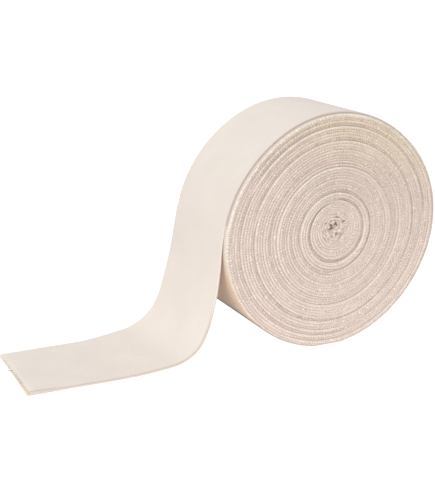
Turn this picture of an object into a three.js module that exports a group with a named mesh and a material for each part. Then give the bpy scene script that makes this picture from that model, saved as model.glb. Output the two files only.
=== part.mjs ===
// A tubular elastic bandage: one knitted tube, laid flat and wound on itself, which stands on its
// rim and lets its outer end down on to the surface beside it.
// Millimetres, +Z up. The winding axis runs along Y, with the near end face at -Y, and the loose end
// runs to -X. The origin is the middle of the small flat spot that the roll rests on.
import * as THREE from 'three';

// Driving dimensions
const tubeWidth = 67.5; // the tube laid flat, fold to fold
const turnPitch = 1.84; // one turn of the flat tube, both layers, wound tight
const rollRadius = 76.5; // mean radius of the wound form
const flatSpotDepth = 0.7; // how far the rim is pressed flat where it rests
const leaveAngle = 172; // degrees from +X, where the outermost turn lets go of the roll
const stepAngle = 0.3; // degrees over which the outline steps in by one turn there
const clearance = 0.3; // kept between the roll and the loose end
const rimRounding = 0.9; // the outermost turn's folds
const outermostShare = 0.97; // of the radius, where the outermost turn begins
const columns = 96; // round the roll

// How uneven the outline is: lobes round the roll, mm above the mean at their crests, and the angle
// of the first crest. The first one is the roll sagging a little wider than it is high.
const lobes = [
  { count: 2, size: 1.1, angle: 21 },
  { count: 4, size: 0.5, angle: 5 },
  { count: 1, size: 0.4, angle: -55 },
];

// The main steps between the turns, from the core out: share of the radius, and how far the turn
// stands out of the near and the far end face. A turn pushed out on one side is drawn in on the other.
const turns = [
  { share: 0.03, near: -3.0, far: -2.2 }, // the pit that the first folds leave
  { share: 0.065, near: -0.3, far: -0.6 },
  { share: 0.15, near: 0.5, far: -0.4 },
  { share: 0.235, near: 0.2, far: -0.2 },
  { share: 0.25, near: -0.8, far: 0.1 },
  { share: 0.265, near: 1.5, far: -1.3 }, // a raised band of three turns
  { share: 0.315, near: 1.7, far: -1.5 },
  { share: 0.334, near: -0.6, far: 0.2 },
  { share: 0.36, near: 0.2, far: -0.2 },
  { share: 0.47, near: 0.6, far: -0.5 },
  { share: 0.525, near: 1.3, far: -1.0 },
  { share: 0.555, near: 1.1, far: -0.9 },
  { share: 0.575, near: -1.3, far: 1.0 }, // the deepest step, with a sunken band outside it
  { share: 0.64, near: -0.8, far: 0.7 },
  { share: 0.715, near: 0.1, far: 0.0 },
  { share: 0.745, near: 0.9, far: -0.6 },
  { share: 0.765, near: -0.6, far: 0.5 },
  { share: 0.8, near: 0.3, far: -0.2 },
  { share: 0.822, near: -0.3, far: 0.3 },
  { share: 0.85, near: 0.3, far: -0.2 },
  { share: 0.882, near: -0.4, far: 0.3 },
  { share: 0.92, near: 0.2, far: -0.1 },
  { share: 0.955, near: 0.8, far: -0.5 }, // the outermost band stands a little proud
  { share: 0.974, near: 0.1, far: 0.2 },
  { share: 0.988, near: 0.5, far: 0.0 },
];

// The loose end's near and far edge, in the middle of its thickness, from the roll down to the cut end,
// and its width, which draws in a little where nothing holds it
const fall = [
  { nearX: -78.8, nearZ: 75.0, farX: -79.9, farZ: 75.0, width: 67.5 },
  { nearX: -79.8, nearZ: 61.0, farX: -82.1, farZ: 61.5, width: 67.5 },
  { nearX: -81.4, nearZ: 46.0, farX: -85.0, farZ: 47.0, width: 67.5 },
  { nearX: -83.4, nearZ: 34.0, farX: -88.4, farZ: 33.0, width: 67.3 },
  { nearX: -87.2, nearZ: 21.0, farX: -92.8, farZ: 20.5, width: 67.0 },
  { nearX: -93.5, nearZ: 11.0, farX: -100.5, farZ: 11.2, width: 66.8 },
  { nearX: -103.5, nearZ: 4.6, farX: -111.0, farZ: 5.2, width: 66.5 },
  { nearX: -119.0, nearZ: 2.0, farX: -125.5, farZ: 2.6, width: 66.0 },
  { nearX: -142.0, nearZ: 0.9, farX: -144.0, farZ: 0.9, width: 64.8 },
  { nearX: -170.0, nearZ: 0.9, farX: -171.0, farZ: 0.9, width: 64.0 },
  { nearX: -199.5, nearZ: 0.9, farX: -199.0, farZ: 0.9, width: 63.0 },
];
const looseThickness = 1.8; // the two layers, no longer under tension
const mouthThickness = { near: 3.2, far: 1.5 }; // the cut end, a little open at its near fold
const mouthFlare = 34; // length over which the layers part
const mouthDepth = 9; // how far the opening between the layers is seen into
const mouthPinch = 0.4; // the opening's height where it closes
const layerThickness = 0.6; // one layer at the cut edge
const stepsPerRow = 4; // sections between two rows of the fall

const radians = THREE.MathUtils.degToRad;
const mix = THREE.MathUtils.lerp;

// A closed solid through rings of equally many points, its two ends capped
function loft(rings) {
  const count = rings[0].length;
  const positions = [];
  const index = [];
  for (const ring of rings) for (const point of ring) positions.push(point.x, point.y, point.z);
  for (let k = 0; k + 1 < rings.length; k += 1) {
    for (let j = 0; j < count; j += 1) {
      const a = k * count + j;
      const b = k * count + ((j + 1) % count);
      index.push(a, b, a + count, b, b + count, a + count);
    }
  }
  const cap = (first, reversed) => {
    const middle = new THREE.Vector3();
    for (let j = 0; j < count; j += 1) middle.add(new THREE.Vector3().fromArray(positions, 3 * (first + j)));
    middle.divideScalar(count);
    const centre = positions.length / 3;
    positions.push(middle.x, middle.y, middle.z);
    for (let j = 0; j < count; j += 1) {
      const a = first + j;
      const b = first + ((j + 1) % count);
      if (reversed) index.push(centre, b, a);
      else index.push(centre, a, b);
    }
  };
  cap(0, true);
  cap((rings.length - 1) * count, false);
  const geometry = new THREE.BufferGeometry();
  geometry.setAttribute('position', new THREE.Float32BufferAttribute(positions, 3));
  geometry.setIndex(index);
  geometry.computeVertexNormals();
  return geometry;
}

// The outline's unevenness at an angle, in mm
function unevennessAt(angle) {
  const rise = (lobe) => lobe.size * Math.cos(radians(lobe.count * (angle - lobe.angle)));
  return lobes.reduce((sum, lobe) => sum + rise(lobe), 0);
}

// How far the outermost turn has wound out of the mean circle: a spiral of one pitch that ends at the
// angle where the loose end leaves, `back` degrees before it
function spiralAt(back) {
  return turnPitch * (0.5 - back / 360);
}

// Radius of a turn. Only the outermost turn follows the spiral's step, and the unevenness fades inwards.
function radiusAt(share, back) {
  const outermost = THREE.MathUtils.smoothstep(share, outermostShare, 1);
  return share * rollRadius + outermost * spiralAt(back) + share * share * unevennessAt(leaveAngle - back);
}

const centreHeight = radiusAt(1, leaveAngle + 90) - flatSpotDepth;

// Places a point of the roll, with the rim pressed flat where it rests
function rollPoint(radius, back, y) {
  const angle = radians(leaveAngle - back);
  const z = centreHeight + radius * Math.sin(angle);
  return new THREE.Vector3(radius * Math.cos(angle), y, Math.max(z, 0));
}

function rollGeometry() {
  // One ring for each step of the near face, the rim, and each step of the far face
  const half = tubeWidth / 2;
  const near = turns.map((turn) => ({ share: turn.share, inset: 0, y: -half - turn.near }));
  const far = turns.map((turn) => ({ share: turn.share, inset: 0, y: half + turn.far }));
  const corner = [0, 45, 90].map((turn) => ({
    share: 1,
    inset: rimRounding * (1 - Math.sin(radians(turn))),
    y: -half + rimRounding * (1 - Math.cos(radians(turn))),
  }));
  const rim = [...corner, ...corner.map((row) => ({ ...row, y: -row.y })).reverse()];
  const profile = [...near, ...rim, ...far.reverse()];
  // The columns go round by one full turn, and the step of the leaving turn lies in the last gap
  const rings = profile.map((row) => {
    const ring = [];
    for (let column = 0; column <= columns; column += 1) {
      const back = (column / columns) * (360 - stepAngle);
      ring.push(rollPoint(radiusAt(row.share, back) - row.inset, back, row.y));
    }
    return ring;
  });
  return loft(rings);
}

// Section of the flat tube: two layers joined by a round fold at its near and at its far edge
function tubeSection(width, nearThickness, farThickness) {
  const flatPoints = 6;
  const foldPoints = 3;
  const near = { across: -(width - nearThickness) / 2, round: nearThickness / 2 };
  const far = { across: (width - farThickness) / 2, round: farThickness / 2 };
  const section = [];
  for (const { from, to, side } of [{ from: near, to: far, side: 1 }, { from: far, to: near, side: -1 }]) {
    for (let k = 0; k <= flatPoints; k += 1) {
      const share = k / flatPoints;
      section.push({
        across: mix(from.across, to.across, share),
        up: side * mix(from.round, to.round, share),
      });
    }
    for (let k = 1; k <= foldPoints; k += 1) {
      const turn = (Math.PI * k) / (foldPoints + 1);
      section.push({
        across: to.across + side * to.round * Math.sin(turn),
        up: side * to.round * Math.cos(turn),
      });
    }
  }
  return section;
}

function looseEndGeometry() {
  // The route starts just under the outermost turn's step and runs through the rows of the fall
  const half = tubeWidth / 2;
  const woundThickness = turnPitch - clearance;
  const startAngle = stepAngle + THREE.MathUtils.radToDeg(clearance / rollRadius);
  const start = rollPoint(radiusAt(1, 0) - woundThickness / 2, -startAngle, 0);
  const route = (points) => new THREE.CatmullRomCurve3(points, false, 'centripetal');
  const nearRoute = route([
    start.clone().setY(-half),
    ...fall.map((row) => new THREE.Vector3(row.nearX, -half, row.nearZ)),
  ]);
  const farRoute = route([
    start.clone().setY(half),
    ...fall.map((row) => new THREE.Vector3(row.farX, row.width - half, row.farZ)),
  ]);

  // Both edges of the tube at a share of the way along, no lower than they can lie
  const cutX = fall[fall.length - 1].nearX;
  const edgeAt = (curve, share, mouth) => {
    const point = curve.getPoint(share);
    const eased = mix(woundThickness, looseThickness, Math.min(1, share * fall.length));
    const thickness = mix(mouth, eased, THREE.MathUtils.smoothstep(point.x - cutX, 0, mouthFlare));
    point.z = Math.max(point.z, thickness / 2);
    return { point, thickness };
  };
  const placeAt = (share) => ({
    near: edgeAt(nearRoute, share, mouthThickness.near),
    far: edgeAt(farRoute, share, mouthThickness.far),
  });

  // A ring of the tube's section there, drawn in by one layer where it is the inside of the mouth
  const look = 0.002; // share of the way to look ahead and behind for the direction
  const ringAt = (share, inset, pinch) => {
    const place = placeAt(share);
    const ahead = placeAt(Math.min(1, share + look));
    const behind = placeAt(Math.max(0, share - look));
    const along = ahead.near.point.clone().add(ahead.far.point)
      .sub(behind.near.point).sub(behind.far.point).normalize();
    const across = place.far.point.clone().sub(place.near.point);
    const width = across.length();
    across.normalize();
    const up = across.clone().cross(along).normalize();
    const middle = place.near.point.clone().add(place.far.point).multiplyScalar(0.5);
    const thin = (edge) => mix(edge.thickness - 2 * inset, mouthPinch, pinch);
    const section = tubeSection(width - 2 * inset, thin(place.near), thin(place.far));
    return section.map(({ across: reach, up: rise }) => middle.clone()
      .addScaledVector(across, reach)
      .addScaledVector(up, rise));
  };
  const rings = [];
  const steps = fall.length * stepsPerRow;
  for (let k = 0; k <= steps; k += 1) rings.push(ringAt(k / steps, 0, 0));

  // The slightly open mouth: back inside between the two layers
  const mouthSteps = 2;
  const lastLength = Math.abs(fall[fall.length - 1].nearX - fall[fall.length - 2].nearX);
  for (let k = 0; k <= mouthSteps; k += 1) {
    const depth = (mouthDepth * k) / mouthSteps;
    rings.push(ringAt(1 - depth / lastLength / fall.length, layerThickness, k / mouthSteps));
  }
  return loft(rings);
}

// Materials: natural undyed cotton, a little pinker where the folds of the turns show
const foldedKnit = new THREE.MeshStandardMaterial({ color: 0xdccdc4, roughness: 0.95, metalness: 0 });
const flatKnit = new THREE.MeshStandardMaterial({ color: 0xe9e0d8, roughness: 0.92, metalness: 0 });

function piece(name, geometry, material) {
  const mesh = new THREE.Mesh(geometry, material);
  mesh.name = name;
  return mesh;
}

const bandage = new THREE.Group();
bandage.add(piece('roll', rollGeometry(), foldedKnit));
bandage.add(piece('loose_end', looseEndGeometry(), flatKnit));

export default bandage;
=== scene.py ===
import math
import bpy
from mathutils import Matrix, Vector, noise


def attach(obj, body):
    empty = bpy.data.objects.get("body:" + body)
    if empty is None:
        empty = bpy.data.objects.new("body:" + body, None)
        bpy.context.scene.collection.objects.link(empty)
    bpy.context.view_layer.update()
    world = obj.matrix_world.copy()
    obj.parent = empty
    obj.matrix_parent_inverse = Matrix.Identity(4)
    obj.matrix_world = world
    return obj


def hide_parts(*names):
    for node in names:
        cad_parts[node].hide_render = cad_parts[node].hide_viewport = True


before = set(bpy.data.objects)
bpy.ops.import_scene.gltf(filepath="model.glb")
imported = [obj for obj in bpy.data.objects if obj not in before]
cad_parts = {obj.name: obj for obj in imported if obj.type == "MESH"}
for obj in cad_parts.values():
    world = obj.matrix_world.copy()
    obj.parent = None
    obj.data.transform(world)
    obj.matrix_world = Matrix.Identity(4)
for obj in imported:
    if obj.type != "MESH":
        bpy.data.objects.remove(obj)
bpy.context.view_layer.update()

# Natural cotton tubular bandage: one knitted tube, laid flat and wound on itself, its outer end let down
# Metres, +Z up, the winding axis along Y and the near end face at -Y
mm = 0.001


def mix(low, high, share):
    return low + (high - low) * share


def shareOf(value, low, high):
    return min(1.0, max(0.0, (value - low) / (high - low)))


def smooth(value, low, high):
    share = shareOf(value, low, high)
    return share * share * (3 - 2 * share)


def between(rows, at):
    # The value at a place in a table of (place, value), eased from row to row
    if at <= rows[0][0]:
        return rows[0][1]
    for low, high in zip(rows, rows[1:]):
        if at <= high[0]:
            return mix(low[1], high[1], smooth(at, low[0], high[0]))
    return rows[-1][1]


def ripple(x, y=0.0, z=0.0):
    # Smooth noise, the same at every run
    return noise.noise(Vector((x, y, z)))


def rippleRound(angle, turn, circle, shift=0.0):
    # Noise that closes round a turn and is a little different on the next
    size, apart = circle
    return ripple(math.cos(angle) * size + shift, math.sin(angle) * size, turn * apart)


# The winding: the same form as the roll in the CAD, with every turn of it, counted from the outside
winding = {
    "width": 0.0675,
    "thinner": 0.00050,  # the outermost turn is stretched thinner and narrower than the rest
    "narrower": 0.0021,
    "stretchedTurns": (0.24, 0.40),  # where that eases off
    "fillingTurns": (0.88, 0.97),  # where the next turn starts to take up the room that it leaves
    "pitch": 0.00184,
    "pressed": 1.016,  # each turn presses a little into the next
    "looseness": 0.035,  # how far that varies
    "radius": 0.0765,
    "flatSpot": 0.0007,
    "leaveAngle": 172.0,
    "turns": 40.7,
    "segment": 0.0022,  # length of one segment of the tube
    "coreSegment": 0.0006,
    "foldDepth": 0.00055,
    "foldMost": 1.6,  # where the tube is thin, a fold's depth in halves of its thickness
    "foldSpare": 0.00001,
    "foldSquareness": 2.9,
    "foldLength": 0.0028,  # round a fold
    "foldSegments": 6,
    "flatEdge": 0.0008,  # next to a fold, the flats have a row of points of their own
}

# Lobes of the outline: how many, how high, and where the first one is
lobes = [(2, 0.0011, 21.0), (4, 0.0005, 5.0), (1, 0.0004, -55.0)]

# How far the middle turns lean to one side
lean = {"size": 0.0009, "angle": 5.0}

# How far the turns stand out of the near face, in mm, counted in turns from the outside
turnSteps = [
    (0.0, 0.2),
    (0.7, 0.4),
    (1.0, 0.9),
    (1.5, 0.9),
    (1.65, 0.1),
    (1.75, 0.0),
    (1.9, 0.75),
    (2.0, 0.6),
    (2.2, 0.1),
    (3.0, 0.0),
    (3.6, 0.25),
    (4.25, 0.1),
    (4.4, -0.5),
    (5.3, -0.55),
    (5.4, 0.6),
    (5.9, 0.3),
    (6.4, -0.1),
    (7.2, 0.15),
    (9.1, 0.1),
    (9.3, -0.5),
    (10.15, -0.65),
    (10.35, 0.8),
    (11.0, 0.5),
    (12.9, 0.2),
    (13.7, 0.5),
    (15.2, 0.3),
    (15.45, -0.4),
    (16.0, -0.6),
    (17.2, -0.5),
    (17.5, 0.0),
    (18.1, 0.1),
    (18.45, -0.1),
    (18.7, 1.2),
    (20.4, 1.15),
    (20.9, 0.5),
    (21.6, 0.4),
    (22.4, 0.4),
    (22.6, 0.8),
    (23.3, 0.7),
    (23.8, 0.1),
    (24.6, 0.1),
    (25.0, 0.3),
    (26.4, 0.1),
    (27.0, -0.5),
    (27.7, -0.8),
    (27.9, 1.2),  # the raised band
    (30.15, 1.3),
    (30.3, -0.2),
    (31.1, -0.2),
    (31.25, 0.9),
    (33.2, 0.8),
    (33.9, 0.4),
    (38.0, 0.4),
    (39.6, 0.0),
    (40.8, -0.5),
]
# The outer rings lie a little off centre: how far, in turns, which way, and between which turns
stepsTilted = {"size": 0.35, "angle": 115.0, "starts": (0.9, 1.6), "ends": (12.0, 17.0)}
farShare = -0.85  # a turn that stands out of one face lies deeper in the other

# Small unevenness of the folds, in mm, by how long a stretch of the tube has it, and where the noise is read
wander = {
    "turnToTurn": 0.20,
    "long": 0.13,
    "short": 0.07,
    "longStretch": 0.011,
    "shortStretch": 0.0045,
    "circle": (1.3, 1.7),  # how large a turn is in the noise, and how far off the next one is
    "looseCircle": (2.1, 2.3),
    "farFaceAt": 7.3,
    "shortAt": 4.0,
    "puckerAt": 9.0,
    "sidewaysAt": 2.0,
}

# The core, where the first turns are crumpled round a slit
core = {
    "aside": -0.0012,
    "asideReach": 0.013,
    "raised": 0.0035,
    "raisedReach": 0.029,
    "crumpled": (0.0060, 0.0130),  # from fully to not at all, by radius
    "crumple": 0.0018,
    "sideways": 0.0009,
    "pucker": 0.0023,
    "slitAngle": 33.0,
    "slitReach": (0.001, 0.0085),  # from fully to not at all, by radius
    "slitLong": 1.30,
    "slitNarrow": 0.70,
    "dentShows": (0.5, 5.5),  # how deep a dent starts to take painted shade and has the most of it, in mm
    "petalShows": (0.5, 1.6),  # how high a petal starts to take a painted highlight and has the most of it, in mm
    "dents": [  # x and z, how deep and how wide, in mm; the raised ones are petals of the crumpled turns
        (-1.8, 78.7, 9.0, 1.5),
        (0.1, 79.6, 3.6, 0.8),
        (1.2, 80.3, 3.0, 0.8),
        (-2.2, 76.6, 3.4, 0.9),
        (6.2, 81.6, 2.2, 0.9),
        (-1.6, 73.1, 2.2, 0.9),
        (5.4, 73.5, 2.0, 0.9),
        (1.9, 73.8, 1.5, 0.7),
        (-2.6, 68.9, 1.3, 0.9),
        (-3.2, 83.0, 1.6, 0.9),
        (1.6, 77.0, 1.4, 0.7),
        (8.8, 76.0, 1.5, 0.8),
        (3.6, 79.9, 1.3, 0.7),
        (6.8, 79.0, -1.7, 1.2),
        (-0.2, 75.0, -2.0, 1.3),
        (3.7, 75.8, -1.7, 1.2),
        (3.7, 82.0, -1.5, 1.1),
        (3.3, 77.9, -1.2, 1.0),
        (-4.4, 74.2, -1.4, 1.1),
        (-1.2, 81.4, -1.3, 1.0),
        (1.0, 71.6, -1.3, 1.2),
        (6.3, 71.5, -1.2, 1.1),
        (-5.0, 79.4, -1.2, 1.1),
    ],
}


def unevenness(angle):
    return sum(size * math.cos(math.radians(count * (angle - first))) for count, size, first in lobes)


def midRadius(back):
    # The middle of the tube's thickness, so many degrees before it leaves the roll
    share = 1 - winding["pitch"] * back / 360 / winding["radius"]
    angle = winding["leaveAngle"] - back
    leaning = 4 * share * (1 - share) * lean["size"] * math.cos(math.radians(angle - lean["angle"]))
    return share * winding["radius"] + share * share * unevenness(angle) + leaning


# The outline's lowest point, from which the centre's height follows
lowestAt = 262.0
lowest = midRadius(lowestAt) + winding["pitch"] / 2
centreHeight = lowest - winding["flatSpot"]


def stretchedAt(back):
    # How stretched the outermost turn is, and how far the next one fills the room that it leaves
    first, last = winding["stretchedTurns"]
    turn = back / 360
    filling = smooth(turn, *winding["fillingTurns"]) * (1 - smooth(turn, 1 + first, 1 + last))
    return 1 - smooth(turn, first, last), filling


def windingPoint(back, sideways=0.0):
    # Where the tube's middle runs in the roll
    radius = midRadius(back) + sideways
    radius += winding["thinner"] / 2 * sum(stretchedAt(back))
    angle = math.radians(winding["leaveAngle"] - back)
    x, z = radius * math.cos(angle), radius * math.sin(angle)
    # The core is squeezed to a slit
    slit = math.radians(core["slitAngle"])
    nearSlit = 1 - smooth(radius, *core["slitReach"])
    along = (x * math.cos(slit) + z * math.sin(slit)) * mix(1.0, core["slitLong"], nearSlit)
    across = (z * math.cos(slit) - x * math.sin(slit)) * mix(1.0, core["slitNarrow"], nearSlit)
    x = along * math.cos(slit) - across * math.sin(slit)
    z = along * math.sin(slit) + across * math.cos(slit)
    aside = core["aside"] * (1 - smooth(radius, 0, core["asideReach"]))
    raised = core["raised"] * (1 - smooth(radius, 0, core["raisedReach"]))
    return Vector((x + aside, 0, centreHeight + z + raised))


def spacingAt(back):
    # Half the way from the turn outside to the turn inside
    inner = windingPoint(min(back + 360, winding["turns"] * 360))
    outer = windingPoint(max(back - 360, 0))
    if back < 360 or back + 360 > winding["turns"] * 360:
        here = windingPoint(back)
        return (here - inner).length if back < 360 else (here - outer).length
    return (inner - outer).length / 2


# The loose end. Its rows go from the roll down to the cut end, in mm: x and z of the near edge,
# x and z of the far edge, width, and how far back it lies
looseEnd = {
    "rows": [
        (-78.1, 75.0, -78.9, 75.0, 65.1, 2.4),
        (-79.1, 61.0, -81.1, 61.5, 65.4, 2.1),
        (-81.0, 46.0, -84.2, 47.0, 65.9, 1.6),
        (-83.5, 34.0, -88.0, 33.0, 66.1, 1.2),
        (-87.6, 21.0, -92.7, 20.5, 66.4, 0.6),
        (-93.8, 11.0, -100.5, 11.2, 66.8, 0.0),
        (-103.8, 4.6, -111.2, 5.2, 66.8, -0.3),
        (-119.0, 2.0, -125.5, 2.6, 66.4, -0.4),
        (-142.0, 0.8, -144.0, 0.8, 65.2, -0.4),
        (-170.0, 0.8, -171.0, 0.8, 64.3, -0.3),
        (-199.5, 0.9, -199.0, 0.9, 63.2, -0.2),
    ],
    "stepsPerRow": 10,
    "thickness": 0.0013,
    "waver": 0.00025,  # how far its edges waver
    "waverPerRow": 1.4,
    "waverAt": (0.3, 5.3),  # where in the noise the near and the far edge are
    "mouthNear": 0.0027,
    "mouthFar": 0.0015,
    "mouthFlare": 0.026,
    "mouthShare": 0.36,  # of the width that stands open
    "mouthDepth": 0.022,
    "mouthPinch": 0.00012,
    "mouthToneLost": 0.95,  # how much less of the mouth's painted shade there is past the open part
    "layer": 0.0006,
    "cutRings": [(0.25, 0.0, 1.0), (0.9, 0.5, 0.6)],  # over the cut: share of the layer, painted shade inside, painted highlight
    "lowerLayerOut": 0.0013,  # how far the lower layer reaches past the upper one
    "lowerLayerFar": 0.3,  # and how much of that past the open part
    "edgeTone": 0.15,  # how much of the folds' tone, partly painted shade, the loose end's edges have
}


def curvePoint(points, at):
    # Centripetal Catmull-Rom curve through the points, with one point to spare at each end
    k = min(int(at), len(points) - 4)
    share = at - k
    p0, p1, p2, p3 = points[k:k + 4]
    d0, d1, d2 = (max((b - a).length, 1e-9) ** 0.5 for a, b in ((p0, p1), (p1, p2), (p2, p3)))
    leave = ((p1 - p0) / d0 - (p2 - p0) / (d0 + d1) + (p2 - p1) / d1) * d1
    arrive = ((p2 - p1) / d1 - (p3 - p1) / (d1 + d2) + (p3 - p2) / d2) * d1
    s2, s3 = share * share, share ** 3
    return (p1 * (2 * s3 - 3 * s2 + 1) + leave * (s3 - 2 * s2 + share)
            + p2 * (3 * s2 - 2 * s3) + arrive * (s3 - s2))


def levelAt(turn, angle):
    tilted = smooth(turn, *stepsTilted["starts"]) * (1 - smooth(turn, *stepsTilted["ends"]))
    aside = stepsTilted["size"] * math.cos(angle - math.radians(stepsTilted["angle"]))
    return between(turnSteps, turn + aside * tilted)


def dentAt(middle):
    dent = 0.0
    for x, z, deep, wide in core["dents"]:
        apart = (Vector((middle.x, middle.z)) / mm - Vector((x, z))).length
        dent += deep * math.exp(-(apart / wide) ** 2)
    return dent


def standsOut(side, turn, angle, walked, crumpled, middle):
    # How far a turn's fold stands out of its face, in metres
    step = levelAt(turn, angle) * (1 if side == 0 else farShare)
    shift = wander["farFaceAt"] * side
    step += wander["turnToTurn"] * rippleRound(angle, turn, wander["circle"], shift)
    step += wander["long"] * ripple(walked / wander["longStretch"], shift)
    step += wander["short"] * ripple(walked / wander["shortStretch"], shift, wander["shortAt"])
    pucker = ripple(middle.x / core["pucker"], middle.z / core["pucker"], wander["puckerAt"] + shift)
    return step * mm + crumpled * core["crumple"] * pucker


def woundStations():
    # From the core outwards: where the tube's near and far edges run, and how it is there
    stations = []
    half = winding["width"] / 2
    back = winding["turns"] * 360
    walked = 0.0
    while True:
        turn = back / 360
        radius = midRadius(back)
        angle = math.radians(winding["leaveAngle"] - back)
        crumpled = 1 - smooth(radius, *core["crumpled"])
        plain = windingPoint(back)
        pucker = ripple(plain.x / core["pucker"], plain.z / core["pucker"], wander["sidewaysAt"])
        middle = windingPoint(back, crumpled * (core["sideways"] * pucker))
        stretched, filling = stretchedAt(back)
        thickness = winding["pressed"] * spacingAt(back)
        thickness *= 1 + winding["looseness"] * rippleRound(angle, turn, wander["looseCircle"])
        thickness += winding["thinner"] * (filling - stretched)
        dent = dentAt(middle) if crumpled > 0 else 0.0
        narrower = winding["narrower"] * stretched + dent * mm
        near = middle + Vector((0, narrower - half - standsOut(0, turn, angle, walked, crumpled, plain), 0))
        far = middle + Vector((0, half + standsOut(1, turn, angle, walked, crumpled, plain), 0))
        level = levelAt(turn, angle)
        overOutside = level - levelAt(turn - 1, angle) if turn >= 1 else 0.0
        overOutside += filling * winding["narrower"] / mm
        stations.append({
            "near": near,
            "far": far,
            "thickNear": thickness,
            "thickFar": thickness,
            "turn": turn,
            "angle": angle,
            "over": (overOutside, level - levelAt(turn + 1, angle)),  # in mm, past the turns beside it
            "filling": filling,
            "dent": shareOf(dent, *core["dentShows"]),
            "petal": smooth(-dent, *core["petalShows"]),
            "folded": mix(1.0, looseEnd["edgeTone"], stretched),
        })
        if back <= 0:
            return stations
        segment = mix(winding["segment"], winding["coreSegment"], crumpled)
        back = max(0.0, back - math.degrees(segment / radius))
        walked += segment


def looseStations(last, before):
    # The curves start at the roll's last station and are led in by one before it
    half = winding["width"] / 2
    nearRoute = [Vector((station["near"].x, station["near"].z)) for station in (before, last)]
    farRoute = [Vector((station["far"].x, station["far"].z)) for station in (before, last)]
    for nearX, nearZ, farX, farZ, _, _ in looseEnd["rows"]:
        nearRoute.append(Vector((nearX, nearZ)) * mm)
        farRoute.append(Vector((farX, farZ)) * mm)
    nearRoute.append(2 * nearRoute[-1] - nearRoute[-2])
    farRoute.append(2 * farRoute[-1] - farRoute[-2])
    widths = [winding["width"]] + [row[4] * mm for row in looseEnd["rows"]]
    backs = [last["near"].y + half] + [row[5] * mm for row in looseEnd["rows"]]
    steps = len(looseEnd["rows"]) * looseEnd["stepsPerRow"]
    stations = []
    for k in range(1, steps + 1):
        at = k / looseEnd["stepsPerRow"]
        row = min(int(at), len(widths) - 2)
        width = mix(widths[row], widths[row + 1], at - row)
        aside = mix(backs[row], backs[row + 1], at - row) - half
        eased = smooth(at, 0, 1)
        near, far = curvePoint(nearRoute, at), curvePoint(farRoute, at)
        flare = flareAt(near.x)
        thickness = mix(last["thickNear"], looseEnd["thickness"], eased)
        thickNear = mix(thickness, looseEnd["mouthNear"], flare)
        thickFar = mix(thickness, looseEnd["mouthFar"], flare)
        waverNear, waverFar = (looseEnd["waver"] * ripple(at * looseEnd["waverPerRow"], place)
                               for place in looseEnd["waverAt"])
        nearY = mix(last["near"].y, aside, eased) + waverNear
        farY = mix(last["far"].y, aside + width, eased) + waverFar
        stations.append({
            "near": Vector((near.x, nearY, max(near.y, thickNear / 2))),
            "far": Vector((far.x, farY, max(far.y, thickFar / 2))),
            "thickNear": thickNear,
            "thickFar": thickFar,
            "turn": 0.0,
            "folded": looseEnd["edgeTone"],
        })
    return stations


def flareAt(x):
    # 1 at the cut end, where the tube's mouth stands open, and 0 a little way up the loose end
    cutX = looseEnd["rows"][-1][0] * mm
    return 1 - smooth(x - cutX, 0, looseEnd["mouthFlare"])


def sectionShape():
    # Round the flat tube: which fold (0 near, 1 far), reach out of the fold's base, rise (-1 inner side,
    # 1 outer side), share of the width on the flats and None on a fold, and metres round
    shape = []
    folds, edge = winding["foldSegments"], winding["flatEdge"]
    foldLength, flatLength = winding["foldLength"], winding["width"] - 2 * winding["foldDepth"]
    power = 2 / winding["foldSquareness"]
    for side in (0, 1):
        start = side * (foldLength + flatLength)
        for k in range(folds + 1):
            turn = math.pi * (k / folds - 0.5) * (1 if side == 0 else -1)
            rise = math.copysign(abs(math.sin(turn)) ** power, turn)
            reach = max(0.0, math.cos(turn)) ** power
            shape.append((side, reach, rise, None, start + foldLength * k / folds))
        for along in (edge, flatLength - edge):
            share = along / flatLength if side == 0 else 1 - along / flatLength
            rise = 1.0 if side == 0 else -1.0
            shape.append((side, 0.0, rise, share, start + foldLength + along))
    return shape


def addDirections(stations):
    # Along the tube and out of it, from the stations on either side
    distance = 0.0
    for k, station in enumerate(stations):
        ahead, behind = stations[min(k + 1, len(stations) - 1)], stations[max(k - 1, 0)]
        along = ahead["near"] + ahead["far"] - behind["near"] - behind["far"]
        along.y = 0
        station["along"] = along.normalized()
        station["out"] = Vector((along.z, 0, -along.x)).normalized()
        if k:
            last = stations[k - 1]
            distance += ((station["near"] + station["far"] - last["near"] - last["far"]) / 2).length
        station["distance"] = distance


# What the materials read on the turns, painted shade and painted highlight. A pair says from where to where a
# tone grows
foldTones = {
    "foldedReach": (0.0, 0.5),
    "lightAngle": 120.0,  # painted highlight on walls between turns that face up and to the left, where the light comes from
    "lightRange": (-0.4, 1.0),
    "stepShows": (0.2, 1.2),  # by how far a turn stands out past the next, in mm
    "highlightReach": (0.1, 0.5),
    "besideHighlight": 0.9,  # painted highlight on the folds beside the outermost turn's edge
    "besideReach": (0.15, 0.5),
    "besideRise": (-0.9, -0.2),
    "besideShade": 1.0,  # painted shade on the flat there
    "grooveShade": 0.35,  # painted shade between turns
    "grooveReach": (0.1, 0.9),
    "footShade": 0.5,  # painted shade where a turn lies deeper than the next
    "footShadeTop": 0.3,  # how much of that painted shade is left at the roll's top
    "footShadeTopRange": (0.5, 0.95),  # by the sine of the angle
    # painted shade in the core's dents, and painted highlight on its petals
    "dentShade": 2.2,
    "petalHighlight": 0.75,
}

# What they read on the outermost turn's outer side: painted warm shade where the loose end hides it, and
# painted shade where it comes near the surface
outerTones = {
    "hiddenStarts": (0.80, 0.90),  # the part that the loose end hides, in turns
    "hiddenEnds": (0.92, 0.99),
    "contactTurn": 0.70,  # from here on the turn comes near the surface
    "contactShade": 1.5,
    "contactHeight": (0.0190, 0.0270),
}
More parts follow.
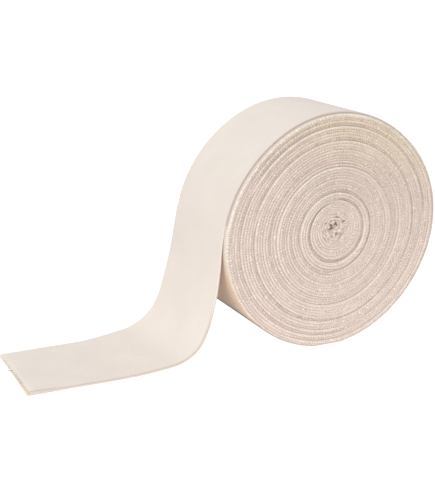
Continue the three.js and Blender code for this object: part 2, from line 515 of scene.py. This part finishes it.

# And on the loose end: painted shade and painted highlight along its edges, painted warm shade on its side
# towards the roll
looseTones = {
    "edgeShade": 0.55,  # painted shade on the lower part of its folds
    "edgeShadeReach": (0.2, 0.8),
    "edgeShadeFall": (-0.6, 0.4),
    "edgeShadeLine": (0.95, 0.30),  # how dark the painted shade line beside the near and the far fold is
    "edgeShadeLineRise": (0.2, 0.8),
    "edgeHighlight": 0.7,  # painted highlight on the near fold, where the loose end hangs
    "edgeHighlightReach": (0.1, 0.5),
    "hanging": (0.022, 0.040),  # by height
    "hiddenSideShade": 0.5,  # painted warm shade on the side towards the roll
    "hiddenHeight": (0.004, 0.030),
}


def facingLight(angle):
    # How much a wall between turns faces the light, for its painted highlight
    return smooth(math.cos(angle - math.radians(foldTones["lightAngle"])), *foldTones["lightRange"])


def onLooseEnd(height, side, reach, rise, onFlat, edge):
    # Painted shade, painted highlight and painted warm shade of the loose end
    if onFlat:
        hiddenShade = looseTones["hiddenSideShade"] * smooth(height, *looseTones["hiddenHeight"])
        return 0.0, edge, hiddenShade if rise < 0 else 0.0
    shade = looseTones["edgeShade"] * smooth(reach, *looseTones["edgeShadeReach"])
    shade *= smooth(-rise, *looseTones["edgeShadeFall"])
    shadeLine = looseTones["edgeShadeLine"][side] * smooth(rise, *looseTones["edgeShadeLineRise"])
    if side == 0:
        hanging = smooth(height, *looseTones["hanging"])
        hangingHighlight = looseTones["edgeHighlight"] * hanging * smooth(reach, *looseTones["edgeHighlightReach"])
        edge = max(edge, hangingHighlight)
        shadeLine *= 1 - hanging
    return max(shade, shadeLine), edge, 0.0


def onOutermostTurn(station, side, reach, onFlat, edge):
    # Painted shade near the surface, painted highlight beside the edge and painted warm shade where the loose
    # end hides the outermost turn's outer side
    turn, shade = station["turn"], 0.0
    hiddenShade = smooth(turn, *outerTones["hiddenStarts"]) * (1 - smooth(turn, *outerTones["hiddenEnds"]))
    if side == 0 and not onFlat:
        edge = foldTones["besideHighlight"] * station["filling"] * smooth(reach, *foldTones["besideReach"])
    if turn > outerTones["contactTurn"]:
        height = station["near"].z - station["thickNear"] / 2
        shade = outerTones["contactShade"] * (1 - smooth(height, *outerTones["contactHeight"]))
    return shade, edge, hiddenShade


def onFold(station, side, reach, rise):
    # Painted shade and painted highlight of the folds that make the end faces
    over = [step * (1 if side == 0 else farShare) for step in station["over"]]
    outward, inward = (1 + rise) / 2, (1 - rise) / 2
    angle, filling, shows = station["angle"], station["filling"], foldTones["stepShows"]
    paintedHighlight = outward * smooth(over[0], *shows) * facingLight(angle)
    paintedHighlight += inward * smooth(over[1], *shows) * facingLight(angle + math.pi)
    beside = foldTones["besideHighlight"] * filling * smooth(rise, *foldTones["besideRise"])
    paintedHighlight = max(paintedHighlight * smooth(reach, *foldTones["highlightReach"]), beside)
    paintedHighlight *= mix(1.0, smooth(reach, *foldTones["besideReach"]), filling)
    footShade = outward ** 2 * smooth(-over[0], *shows) + inward ** 2 * smooth(-over[1], *shows)
    footShade *= mix(1.0, foldTones["footShadeTop"], smooth(math.sin(angle), *foldTones["footShadeTopRange"]))
    grooveShade = abs(rise) ** 3 * (1 - smooth(reach, *foldTones["grooveReach"]))
    paintedShade = min(1.0, foldTones["grooveShade"] * grooveShade * station["folded"] + foldTones["footShade"] * footShade)
    if side == 0:
        paintedShade = max(paintedShade, foldTones["dentShade"] * station["dent"])
        petal = foldTones["petalHighlight"] * station["petal"] * smooth(reach, *foldTones["highlightReach"])
        paintedHighlight = max(paintedHighlight, petal)
    return paintedShade, paintedHighlight


def readings(station, side, reach, rise, share, insideShade, edge):
    # What the materials read at a point: folded, painted shade, painted highlight, the painted shade inside
    # the tube's mouth and the painted warm shade on the hidden side
    folded = station["folded"] * smooth(reach, *foldTones["foldedReach"])
    paintedShade, hiddenShade, onFlat = 0.0, 0.0, share is not None
    if station["turn"] == 0:
        paintedShade, edge, hiddenShade = onLooseEnd(station["near"].z, side, reach, rise, onFlat, edge)
    elif station["turn"] < 1 and rise > 0:
        paintedShade, edge, hiddenShade = onOutermostTurn(station, side, reach, onFlat, edge)
    elif not onFlat:
        paintedShade, edge = onFold(station, side, reach, rise)
    elif side == 0 and share < 0.5:
        paintedShade = max(foldTones["besideShade"] * station["filling"], foldTones["dentShade"] * station["dent"])
    return folded, paintedShade, edge, insideShade, hiddenShade


def lowerLayerPast(past, fromNear):
    # How far the lower layer reaches past the upper one, so far across the width
    return past * mix(1.0, looseEnd["lowerLayerFar"], fromNear)


def ringOf(station, shape, inset=0.0, pinch=0.0, past=0.0, insideShade=0.0, edge=0.0):
    # One ring of points, with what the materials read there
    near, far = station["near"], station["far"]
    across = far - near
    width = across.length
    across.normalize()
    thicknesses = (station["thickNear"], station["thickFar"])
    halves = [mix(thickness / 2 - inset, looseEnd["mouthPinch"], pinch) for thickness in thicknesses]
    most, spare = winding["foldMost"], winding["foldSpare"]
    deepNear, deepFar = (inset + min(winding["foldDepth"], most * half + spare) for half in halves)
    ring = []
    for side, reach, rise, share, around in shape:
        if share is not None:
            place = mix(deepNear, width - deepFar, share)
        elif side == 0:
            place = deepNear - (deepNear - inset) * reach
        else:
            place = width - deepFar + (deepFar - inset) * reach
        fromNear = smooth(place / width, 0, looseEnd["mouthShare"])
        point = near + across * place + station["out"] * (mix(*halves, fromNear) * rise)
        if past and rise < 0:
            point += station["along"] * lowerLayerPast(past * -rise, fromNear)
        point.z = max(point.z, 0.0)
        mouth = insideShade * (1 - looseEnd["mouthToneLost"] * fromNear)
        ring.append((point, around, readings(station, side, reach, rise, share, mouth, edge)))
    return ring


def buildTube(stations, shape):
    # Rings of points from the core to the cut end, over the cut edge and back inside between the layers
    past, layer = looseEnd["lowerLayerOut"], looseEnd["layer"]
    rings = []
    for station in stations:
        flare = flareAt(station["near"].x) if station["turn"] == 0 else 0.0
        rings.append((station, ringOf(station, shape, past=past * flare)))
    last = stations[-1]
    for share, insideShade, edge in looseEnd["cutRings"]:
        rings.append((last, ringOf(last, shape, inset=layer * share, past=past, insideShade=insideShade, edge=edge)))
    deepest = last["distance"] - looseEnd["mouthDepth"]
    for station in reversed([s for s in stations if s["turn"] == 0 and s["distance"] > deepest][:-1]):
        depth = (last["distance"] - station["distance"]) / looseEnd["mouthDepth"]
        flare = flareAt(station["near"].x)
        ring = ringOf(station, shape, layer, min(1.0, depth), past * flare, insideShade=1.0)
        rings.append((station, ring))
    return rings


# Yarn ends along the cut: short loops cut through, and a few that have come loose
fray = {
    "spacing": 0.00085,
    "jitter": 0.35,  # of the spacing
    "length": (0.0002, 0.0007),
    "shortest": 0.00015,
    "thickness": 0.00021,
    "droop": 0.2,
    "turnedAside": 0.5,
    "turnedUp": 0.3,
    "noise": {"place": (3.7, 1.0), "length": (1.9, 3.1), "aside": (2.3, 5.0), "up": (1.3, 1.0)},
    "profile": [(-0.3, 1.0), (0.4, 1.0), (0.8, 0.85), (1.0, 0.4)],  # place along it, share of thickness
    "sides": 5,
    "lowest": 0.00001,
    "tuftAt": 0.60,  # of the width, from the near fold
    "tuftUp": 0.0002,
    "tuftDroop": 0.3,
    "tuftThickness": 0.00028,
    # Place, length, turned aside
    "tuft": [(-0.0006, 0.0021, 0.15), (0.0, 0.0026, 0.35), (0.0007, 0.0018, -0.1)],
    "read": (0.3, 0.0, 0.8, 0.0, 0.0),  # what the materials read on them: some of the folds' tone and a painted highlight
    "mapStep": 0.003,  # on the knit's map, where they follow the tube's end
    "mapRound": 0.0005,
}


def yarnEnd(base, direction, droop, length, thickness):
    # A short yarn with a rounded end, as rings of points
    side = direction.cross(Vector((0, 0, 1))).normalized()
    up = side.cross(direction).normalized()
    rings = []
    for at, size in fray["profile"]:
        middle = base + direction * (length * at) - up * (droop * length * max(at, 0) ** 2)
        ring = []
        for k in range(fray["sides"]):
            turn = 2 * math.pi * k / fray["sides"]
            point = middle + (side * math.cos(turn) + up * math.sin(turn)) * (thickness * size)
            point.z = max(point.z, fray["lowest"])
            ring.append(point)
        rings.append(ring)
    return rings


def yarnNoise(what, k, layer):
    perYarn, perLayer = fray["noise"][what]
    return ripple(k * perYarn, layer * perLayer)


def cutEdgeYarns(last):
    # Along both layers' cut edges
    near, far, out, along = last["near"], last["far"], last["out"], last["along"]
    across = far - near
    count = int(across.length / fray["spacing"])
    yarns = []
    for layer in (1, -1):
        for k in range(count):
            share = (k + 0.5 + fray["jitter"] * yarnNoise("place", k, layer)) / count
            fromNear = smooth(share, 0, looseEnd["mouthShare"])
            half = mix(last["thickNear"], last["thickFar"], fromNear) / 2 - looseEnd["layer"] / 2
            past = lowerLayerPast(looseEnd["lowerLayerOut"], fromNear) if layer < 0 else 0.0
            base = near + across * share + out * (half * layer) + along * past
            length = max(mix(*fray["length"], 0.5 + yarnNoise("length", k, layer)), fray["shortest"])
            aside = fray["turnedAside"] * yarnNoise("aside", k, layer)
            upward = fray["turnedUp"] * yarnNoise("up", k, layer)
            direction = (along + Vector((0, aside, upward))).normalized()
            yarns.append(yarnEnd(base, direction, fray["droop"], length, fray["thickness"]))
    for offset, length, aside in fray["tuft"]:
        base = near + across * fray["tuftAt"] + Vector((0, offset, fray["tuftUp"]))
        direction = (along + Vector((0, aside, 0))).normalized()
        yarns.append(yarnEnd(base, direction, fray["tuftDroop"], length, fray["tuftThickness"]))
    return yarns


def tubeMesh(name, rings, yarns, lastDistance):
    vertices, read, corners, faces = [], [], [], []
    shapeCount = len(rings[0][1])
    whole = 2 * (winding["foldLength"] + winding["width"] - 2 * winding["foldDepth"])
    places = []  # metres along and round, for each point
    for station, ring in rings:
        for point, around, values in ring:
            vertices.append(point)
            read.append(values)
            places.append((station["distance"], around))
    for k in range(len(rings) - 1):
        for j in range(shapeCount):
            a, b = k * shapeCount + j, k * shapeCount + (j + 1) % shapeCount
            faces.append((a, a + shapeCount, b + shapeCount, b))
            around = places[b][1] + (whole if j == shapeCount - 1 else 0.0)
            corners += [places[a], places[a + shapeCount]]
            corners += [(places[b + shapeCount][0], around), (places[b][0], around)]
    for ring, start, flip in ((rings[0], 0, False), (rings[-1], (len(rings) - 1) * shapeCount, True)):
        middle = len(vertices)
        vertices.append(sum((point for point, _, _ in ring[1]), Vector()) / shapeCount)
        read.append(ring[1][0][2])
        for j in range(shapeCount):
            a, b = start + j, start + (j + 1) % shapeCount
            faces.append((middle, b, a) if flip else (middle, a, b))
            corners += [(ring[0]["distance"], 0.0)] * 3
    sides = fray["sides"]
    for number, yarn in enumerate(yarns):
        start = len(vertices)
        along = lastDistance + number * fray["mapStep"]
        for ring in yarn:
            vertices += ring
            read += [fray["read"]] * sides
        for k in range(len(yarn) - 1):
            for j in range(sides):
                a, b = start + k * sides + j, start + k * sides + (j + 1) % sides
                faces.append((a, b, b + sides, a + sides))
                corners += [(along, fray["mapRound"] * j)] * 4
        end = start + (len(yarn) - 1) * sides
        faces.append(tuple(end + j for j in range(sides)))
        corners += [(along, 0.0)] * sides
    mesh = bpy.data.meshes.new(name)
    mesh.from_pydata(vertices, [], faces)
    for k, reading in enumerate(("folded", "paintedShade", "paintedHighlight", "insideShade", "hiddenShade")):
        mesh.attributes.new(reading, "FLOAT", "POINT")
        mesh.attributes[reading].data.foreach_set("value", [values[k] for values in read])
    knit = mesh.uv_layers.new(name="knit")
    knit.data.foreach_set("uv", [value for corner in corners for value in corner])
    mesh.polygons.foreach_set("use_smooth", [True] * len(mesh.polygons))
    mesh.update()
    return mesh


def addObject(name, data, material=None):
    thing = bpy.data.objects.new(name, data)
    bpy.context.scene.collection.objects.link(thing)
    if material:
        data.materials.append(material)
    return thing


# Materials
def calculator(nodes, links):
    # Returns a function that adds a Math node, so that a sum reads as one line
    def calc(operation, *values):
        node = nodes.new("ShaderNodeMath")
        node.operation = operation
        for k, value in enumerate(values):
            if isinstance(value, (int, float)):
                node.inputs[k].default_value = value
            else:
                links.new(value, node.inputs[k])
        return node.outputs[0]
    return calc


def newTree(name):
    material = bpy.data.materials.new(name)
    material.use_nodes = True
    nodes, links = material.node_tree.nodes, material.node_tree.links
    nodes.clear()
    return material, nodes, links


def newGroup(name, inputs, outputs):
    group = bpy.data.node_groups.new(name, "ShaderNodeTree")
    for socketName, start in inputs:
        socket = group.interface.new_socket(name=socketName, in_out="INPUT", socket_type="NodeSocketFloat")
        socket.default_value = start
    for socketName in outputs:
        group.interface.new_socket(name=socketName, in_out="OUTPUT", socket_type="NodeSocketFloat")
    nodes, links = group.nodes, group.links
    return group, nodes, links, nodes.new("NodeGroupInput").outputs, nodes.new("NodeGroupOutput").inputs


def alongAndRound(nodes, links):
    place = nodes.new("ShaderNodeUVMap")
    place.uv_map = "knit"
    split = nodes.new("ShaderNodeSeparateXYZ")
    links.new(place.outputs[0], split.inputs[0])
    return place.outputs[0], split.outputs[0], split.outputs[1]


def noiseOf(nodes, links, place, scale, detail=2.0):
    # Noise over the knit's map, with its own scale along the tube and round it
    mapping = nodes.new("ShaderNodeMapping")
    mapping.inputs["Scale"].default_value = scale
    links.new(place, mapping.inputs["Vector"])
    texture = nodes.new("ShaderNodeTexNoise")
    texture.inputs["Scale"].default_value = 1
    texture.inputs["Detail"].default_value = detail
    links.new(mapping.outputs[0], texture.inputs["Vector"])
    return texture.outputs[0]


def smoothStep(nodes, links, value, low, high, least=0.0):
    # A Map Range node that rises smoothly from the least value at low to 1 at high
    node = nodes.new("ShaderNodeMapRange")
    node.interpolation_type = "SMOOTHSTEP"
    for socket, limit in (("From Min", low), ("From Max", high), ("To Min", least)):
        node.inputs[socket].default_value = limit
    links.new(value, node.inputs["Value"])
    return node.outputs[0]


# Scales are how many to the metre, along the tube and round it
stitching = {
    "driftScale": (160, 160, 0),
    "drift": 1.4,
    "driftAcross": 0.5,  # how much of it moves the columns
    "bow": 0.9,
    "columnShift": 0.37,
    "waveDepth": 0.6,
    "yarnScale": (900, 900, 0),
    "yarnDetail": 3.0,
    "yarnLeast": 0.4,
}


def knitGroup():
    # Stitches of a plain knit: columns along the tube, each a row of small bows
    inputs = (("Stitch Length", 0.0016), ("Column Width", 0.0012))
    group, nodes, links, given, result = newGroup("knitStitches", inputs, ("Height", "Shade"))
    calc = calculator(nodes, links)
    place, along, around = alongAndRound(nodes, links)
    drift = calc("SUBTRACT", noiseOf(nodes, links, place, stitching["driftScale"]), 0.5)
    drift = calc("MULTIPLY", drift, stitching["drift"])
    column = calc("DIVIDE", around, given["Column Width"])
    column = calc("MULTIPLY_ADD", drift, stitching["driftAcross"], column)
    fromMiddle = calc("ABSOLUTE", calc("SUBTRACT", calc("FRACT", column), 0.5))
    # 1 along a column's middle and 0 at its edges
    ridge = calc("SUBTRACT", 1.0, calc("MULTIPLY", calc("POWER", fromMiddle, 2.0), 4.0))
    bow = calc("MULTIPLY_ADD", fromMiddle, stitching["bow"], calc("DIVIDE", along, given["Stitch Length"]))
    bow = calc("ADD", calc("MULTIPLY_ADD", calc("FLOOR", column), stitching["columnShift"], bow), drift)
    wave = calc("MULTIPLY_ADD", calc("SINE", calc("MULTIPLY", bow, 2 * math.pi)), 0.5, 0.5)
    wave = calc("MULTIPLY_ADD", wave, stitching["waveDepth"], 1 - stitching["waveDepth"])
    height = calc("MULTIPLY", ridge, wave)
    yarn = noiseOf(nodes, links, place, stitching["yarnScale"], stitching["yarnDetail"])
    links.new(height, result["Height"])
    links.new(calc("MULTIPLY", height, calc("ADD", yarn, stitching["yarnLeast"])), result["Shade"])
    return group


beading = {
    "driftScale": (110, 260, 0),
    "strengthScale": (48, 300, 0),
    "strengthNoise": (0.35, 0.60),  # where in that noise the beads are weakest and strongest
    "weakest": 0.30,
    "detail": 1.0,
}


def beadGroup():
    # Where the tube turns over, its loops stand in a row of small beads along the fold
    inputs = (("Bead Length", 0.00175), ("Drift", 6.0))
    group, nodes, links, given, result = newGroup("foldBeads", inputs, ("Height", "Shade"))
    calc = calculator(nodes, links)
    place, along, _ = alongAndRound(nodes, links)
    drift = calc("SUBTRACT", noiseOf(nodes, links, place, beading["driftScale"], beading["detail"]), 0.5)
    phase = calc("MULTIPLY_ADD", drift, given["Drift"], calc("DIVIDE", along, given["Bead Length"]))
    wave = calc("SINE", calc("MULTIPLY", phase, 2 * math.pi))
    strength = noiseOf(nodes, links, place, beading["strengthScale"], beading["detail"])
    strength = smoothStep(nodes, links, strength, *beading["strengthNoise"], beading["weakest"])
    shade = calc("MULTIPLY", wave, strength)
    links.new(calc("MULTIPLY_ADD", shade, 0.5, 0.5), result["Height"])
    links.new(shade, result["Shade"])
    return group


knitFinish = {
    "flatColour": (0.752, 0.682, 0.618, 1),
    # The folds are darker and pinker than the flats: partly painted shade of their small hollows and of warm
    # light between them
    "foldShadeColour": (0.797, 0.658, 0.580, 1),
    "foldTopLitColour": (0.862, 0.728, 0.578, 1),  # painted warm light at the roll's top
    "topLitAlong": (0.25, 0, 1),
    "topLitFrom": (0.104, 0.150),
    # Painted shade in grooves, at the turns' feet, in dents, beside edges and near the surface
    "paintedShadeColour": (0.50, 0.34, 0.27, 1),
    # Painted highlight where walls and edges stand out towards the light
    "highlightColour": (0.90, 0.82, 0.73, 1),
    # Painted shade inside the tube's open mouth
    "mouthShadeColour": (0.66, 0.58, 0.33, 1),
    "hiddenShadeColour": (0.84, 0.645, 0.49, 1),  # painted warm shade, standing in for light bounced and let through between the cotton where the loose end hides the roll
    "paintedShadeStrength": 0.45,
    "deepShadeStrength": 0.68,  # how much darker the deepest painted shade is
    "highlightStrength": 0.85,
    "grain": 0.22,
    "grainMiddle": 0.45,  # the stitches' shade that leaves the colour as it is
    "grainFlat": 0.35,  # how much of the grain the flats have, and how much more the folds
    "grainFold": 1.3,
    "mottle": 0.10,
    "cloudScale": 60,
    "cloudDetail": 4,
    "turnTone": 0.20,
    "turns": (22, 0, 0),  # how many to the metre, along and round
    "turnDetail": 1.0,
    "beadTone": 0.15,
    "dashTone": 0.36,
    "dashes": (230, 450, 0),
    "roughness": 0.86,
    "roughnessVaries": 0.1,
    "specular": 0.2,
    "sheen": 0.12,
    "sheenRoughness": 0.6,
    "stitchesOnFold": 0.5,  # how much of the stitches' height is left there
    "bumpFlat": 0.16,
    "bumpFold": 0.48,
    "bumpDistance": 0.0005,
}


def mixColour(nodes, links, factor, first, second, blend="MIX"):
    node = nodes.new("ShaderNodeMix")
    node.data_type = "RGBA"
    node.blend_type = blend
    for socket, value in ((node.inputs[0], factor), (node.inputs[6], first), (node.inputs[7], second)):
        if isinstance(value, (int, float, tuple)):
            socket.default_value = value
        else:
            links.new(value, socket)
    return node.outputs[2]


def attribute(nodes, name):
    node = nodes.new("ShaderNodeAttribute")
    node.attribute_name = name
    return node.outputs["Fac"]


def knitMaterial(stitchesOf, beadsOf):
    material, nodes, links = newTree("naturalCottonKnit")
    calc = calculator(nodes, links)
    output = nodes.new("ShaderNodeOutputMaterial")
    shader = nodes.new("ShaderNodeBsdfPrincipled")
    links.new(shader.outputs[0], output.inputs[0])
    stitches, beads = nodes.new("ShaderNodeGroup"), nodes.new("ShaderNodeGroup")
    stitches.node_tree, beads.node_tree = stitchesOf, beadsOf
    place = alongAndRound(nodes, links)[0]
    folded, paintedShade, paintedHighlight = (attribute(nodes, name) for name in ("folded", "paintedShade", "paintedHighlight"))
    insideShade, hiddenShade = (attribute(nodes, name) for name in ("insideShade", "hiddenShade"))
    coordinates = nodes.new("ShaderNodeTexCoord").outputs["Object"]
    # Painted warm light: the folds are warmer towards the roll's top
    upward = nodes.new("ShaderNodeVectorMath")
    upward.operation = "DOT_PRODUCT"
    upward.inputs[1].default_value = knitFinish["topLitAlong"]
    links.new(coordinates, upward.inputs[0])
    topLit = smoothStep(nodes, links, upward.outputs["Value"], *knitFinish["topLitFrom"])
    shadedFold = mixColour(nodes, links, topLit, knitFinish["foldShadeColour"], knitFinish["foldTopLitColour"])
    colour = mixColour(nodes, links, folded, knitFinish["flatColour"], shadedFold)
    # Painted highlight, painted warm shade, painted shade and the mouth's painted shade, laid over the colour
    edge = calc("MULTIPLY", paintedHighlight, knitFinish["highlightStrength"])
    grooveShade = calc("MULTIPLY", paintedShade, knitFinish["paintedShadeStrength"])
    shares = {"highlightColour": edge, "hiddenShadeColour": hiddenShade, "paintedShadeColour": grooveShade, "mouthShadeColour": insideShade}
    for name, share in shares.items():
        colour = mixColour(nodes, links, share, colour, knitFinish[name])
    # Yarn a little darker between its stitches, more so on the folds
    grain = calc("SUBTRACT", knitFinish["grainMiddle"], stitches.outputs["Shade"])
    grain = calc("MULTIPLY", grain, knitFinish["grain"])
    grainShare = calc("MULTIPLY_ADD", folded, knitFinish["grainFold"], knitFinish["grainFlat"])
    grain = calc("MULTIPLY", grain, grainShare)
    clouds = nodes.new("ShaderNodeTexNoise")
    clouds.inputs["Scale"].default_value = knitFinish["cloudScale"]
    clouds.inputs["Detail"].default_value = knitFinish["cloudDetail"]
    links.new(coordinates, clouds.inputs["Vector"])
    mottle = calc("MULTIPLY", calc("SUBTRACT", clouds.outputs[0], 0.5), knitFinish["mottle"])
    level = calc("SUBTRACT", calc("SUBTRACT", 1.0, grain), mottle)
    # Painted shade: the darkest of it, in the core's slit and dents and near the surface, goes darker still
    deep = calc("MAXIMUM", calc("SUBTRACT", paintedShade, 1.0), 0.0)
    level = calc("MULTIPLY_ADD", deep, -knitFinish["deepShadeStrength"], level)
    # Some turns are a little darker than their neighbours, and the folds catch the light in beads and dashes
    tone = calc("SUBTRACT", noiseOf(nodes, links, place, knitFinish["turns"], knitFinish["turnDetail"]), 0.5)
    dash = calc("SUBTRACT", noiseOf(nodes, links, place, knitFinish["dashes"]), 0.5)
    foldLevel = calc("MULTIPLY", tone, knitFinish["turnTone"])
    foldLevel = calc("MULTIPLY_ADD", dash, knitFinish["dashTone"], foldLevel)
    foldLevel = calc("MULTIPLY_ADD", beads.outputs["Shade"], knitFinish["beadTone"], foldLevel)
    level = calc("MULTIPLY_ADD", foldLevel, folded, level)
    grey = nodes.new("ShaderNodeCombineColor")
    for k in range(3):
        links.new(level, grey.inputs[k])
    colour = mixColour(nodes, links, 1.0, colour, grey.outputs[0], "MULTIPLY")
    links.new(colour, shader.inputs["Base Color"])
    rough = calc("MULTIPLY_ADD", clouds.outputs[0], knitFinish["roughnessVaries"], knitFinish["roughness"])
    links.new(rough, shader.inputs["Roughness"])
    shader.inputs["Specular IOR Level"].default_value = knitFinish["specular"]
    shader.inputs["Sheen Weight"].default_value = knitFinish["sheen"]
    shader.inputs["Sheen Roughness"].default_value = knitFinish["sheenRoughness"]
    # The beads stand on the folds, and the stitches are lower there
    beadHeight = calc("MULTIPLY", beads.outputs["Height"], folded)
    left = knitFinish["stitchesOnFold"]
    stitchShare = calc("MULTIPLY_ADD", calc("SUBTRACT", 1.0, folded), 1 - left, left)
    height = calc("MULTIPLY_ADD", stitches.outputs["Height"], stitchShare, beadHeight)
    bump = nodes.new("ShaderNodeBump")
    bump.inputs["Distance"].default_value = knitFinish["bumpDistance"]
    links.new(height, bump.inputs["Height"])
    more = knitFinish["bumpFold"] - knitFinish["bumpFlat"]
    links.new(calc("MULTIPLY_ADD", folded, more, knitFinish["bumpFlat"]), bump.inputs["Strength"])
    links.new(bump.outputs[0], shader.inputs["Normal"])
    return material


print("bandage: winding the tube")
wound = woundStations()
stations = wound + looseStations(wound[-1], wound[-3])
addDirections(stations)
rings = buildTube(stations, sectionShape())
yarns = cutEdgeYarns(stations[-1])
mesh = tubeMesh("wound_tube", rings, yarns, stations[-1]["distance"])
tube = addObject("wound_tube", mesh, knitMaterial(knitGroup(), beadGroup()))
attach(tube, "root")
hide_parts("roll", "loose_end")
print("bandage: tube of", round(stations[-1]["distance"], 3), "m,", len(mesh.polygons), "faces")

# Floor, light and camera
studio = {
    "floorColour": (0.20, 0.20, 0.20, 1),
    "floorRoughness": 0.9,
    "floorSpecular": 0.1,
    "floorGlow": 0.15,  # glow that the floor gives off towards the object, in place of the light it would bounce
    "nearGlow": 0.86,  # and a pool of glow besides, in front of the object
    "nearGlowPlace": (-0.08, -0.17, 0),
    "nearGlowReach": (0.34, 0.16),
    "floorShown": 0.97,  # how white it shows
    "floorSize": 14.0,
    "floorHeight": -0.00005,
    "shaded": ((-0.205, 0.020), (-0.020, 0.030)),  # x and y under the object, where it glows less, a painted shadow
    "shadedEdge": 0.014,
    "shadedShare": 0.85,
    "world": 0.76,
    "lights": [  # name, place, size, power
        ("key", (-1.31, -0.81, 0.98), 1.1, 11.4),
        ("fill", (-0.60, 0.80, 0.60), 0.8, 2.4),
    ],
    "lightTarget": (-0.04, 0, 0.05),
}


def buildFloor():
    size = studio["floorSize"] / 2
    mesh = bpy.data.meshes.new("floor")
    corners = [(-size, -size, 0), (size, -size, 0), (size, size, 0), (-size, size, 0)]
    mesh.from_pydata(corners, [], [(0, 1, 2, 3)])
    material, nodes, links = newTree("paleFloor")
    calc = calculator(nodes, links)
    output = nodes.new("ShaderNodeOutputMaterial")
    shader = nodes.new("ShaderNodeBsdfPrincipled")
    shader.inputs["Base Color"].default_value = studio["floorColour"]
    shader.inputs["Roughness"].default_value = studio["floorRoughness"]
    shader.inputs["Specular IOR Level"].default_value = studio["floorSpecular"]
    shader.inputs["Emission Color"].default_value = (1, 1, 1, 1)
    coordinates = nodes.new("ShaderNodeTexCoord").outputs["Object"]
    split = nodes.new("ShaderNodeSeparateXYZ")
    links.new(coordinates, split.inputs[0])
    # 1 under the object and 0 past the shaded edge
    edge = studio["shadedEdge"]
    fades = []
    for axis, (low, high) in enumerate(studio["shaded"]):
        fades.append(smoothStep(nodes, links, split.outputs[axis], low - edge, low))
        fades.append(smoothStep(nodes, links, split.outputs[axis], high + edge, high))
    under = fades[0]
    for fade in fades[1:]:
        under = calc("MULTIPLY", under, fade)
    apart = nodes.new("ShaderNodeVectorMath")
    apart.operation = "DISTANCE"
    apart.inputs[1].default_value = studio["nearGlowPlace"]
    links.new(coordinates, apart.inputs[0])
    near = smoothStep(nodes, links, apart.outputs["Value"], *studio["nearGlowReach"])
    glow = calc("MULTIPLY_ADD", near, studio["nearGlow"], studio["floorGlow"])
    glow = calc("MULTIPLY", calc("MULTIPLY_ADD", under, -studio["shadedShare"], 1.0), glow)
    # To the camera the floor shows evenly white; to the object it glows as above
    shown = nodes.new("ShaderNodeLightPath").outputs["Is Camera Ray"]
    glow = calc("MULTIPLY_ADD", calc("SUBTRACT", studio["floorShown"], glow), shown, glow)
    links.new(glow, shader.inputs["Emission Strength"])
    links.new(shader.outputs[0], output.inputs[0])
    floor = addObject("floor", mesh, material)
    floor.location.z = studio["floorHeight"]


def aim(thing, place, target):
    thing.location = place
    thing.rotation_euler = (Vector(target) - Vector(place)).to_track_quat("-Z", "Y").to_euler()


def buildLights():
    world = bpy.data.worlds.new("softRoom")
    bpy.context.scene.world = world
    world.use_nodes = True
    background = world.node_tree.nodes["Background"]
    background.inputs["Color"].default_value = (1, 1, 1, 1)
    background.inputs["Strength"].default_value = studio["world"]
    for name, place, size, power in studio["lights"]:
        data = bpy.data.lights.new(name, "AREA")
        data.shape = "DISK"
        data.size = size
        data.energy = power
        aim(addObject(name, data), place, studio["lightTarget"])


# The camera stands as the photograph's does: turned round the roll, raised, a little rolled and not aimed
# at its centre. Angles in degrees, the lens in mm
view = {
    "azimuth": -34.06,
    "elevation": 15.17,
    "rolled": 3.22,
    "distance": 0.6483,
    "pivot": (0, -0.03375, 0.07658),
    "turnedAside": -6.517,
    "turnedUp": -0.967,
    "lens": 74.29,
}


def buildCamera():
    turn, rise, roll = (math.radians(view[name]) for name in ("azimuth", "elevation", "rolled"))
    aside, upward = math.radians(view["turnedAside"]), math.radians(view["turnedUp"])
    back = Vector((math.sin(turn) * math.cos(rise), -math.cos(turn) * math.cos(rise), math.sin(rise)))
    level = Vector((math.cos(turn), math.sin(turn), 0))
    steep = back.cross(level)
    right = level * math.cos(roll) + steep * math.sin(roll)
    up = steep * math.cos(roll) - level * math.sin(roll)
    forward = -back
    right, forward = (right * math.cos(aside) - forward * math.sin(aside),
                      right * math.sin(aside) + forward * math.cos(aside))
    up, forward = (up * math.cos(upward) - forward * math.sin(upward),
                   up * math.sin(upward) + forward * math.cos(upward))
    data = bpy.data.cameras.new("camera")
    data.lens = view["lens"]
    camera = addObject("camera", data)
    place = Vector(view["pivot"]) + back * view["distance"]
    turned = Matrix((right, up, -forward)).transposed().to_4x4()
    camera.matrix_world = Matrix.Translation(place) @ turned
    bpy.context.scene.camera = camera


buildFloor()
buildLights()
buildCamera()
bpy.context.scene.view_settings.view_transform = "Standard"
print("bandage: floor, light and camera in place")
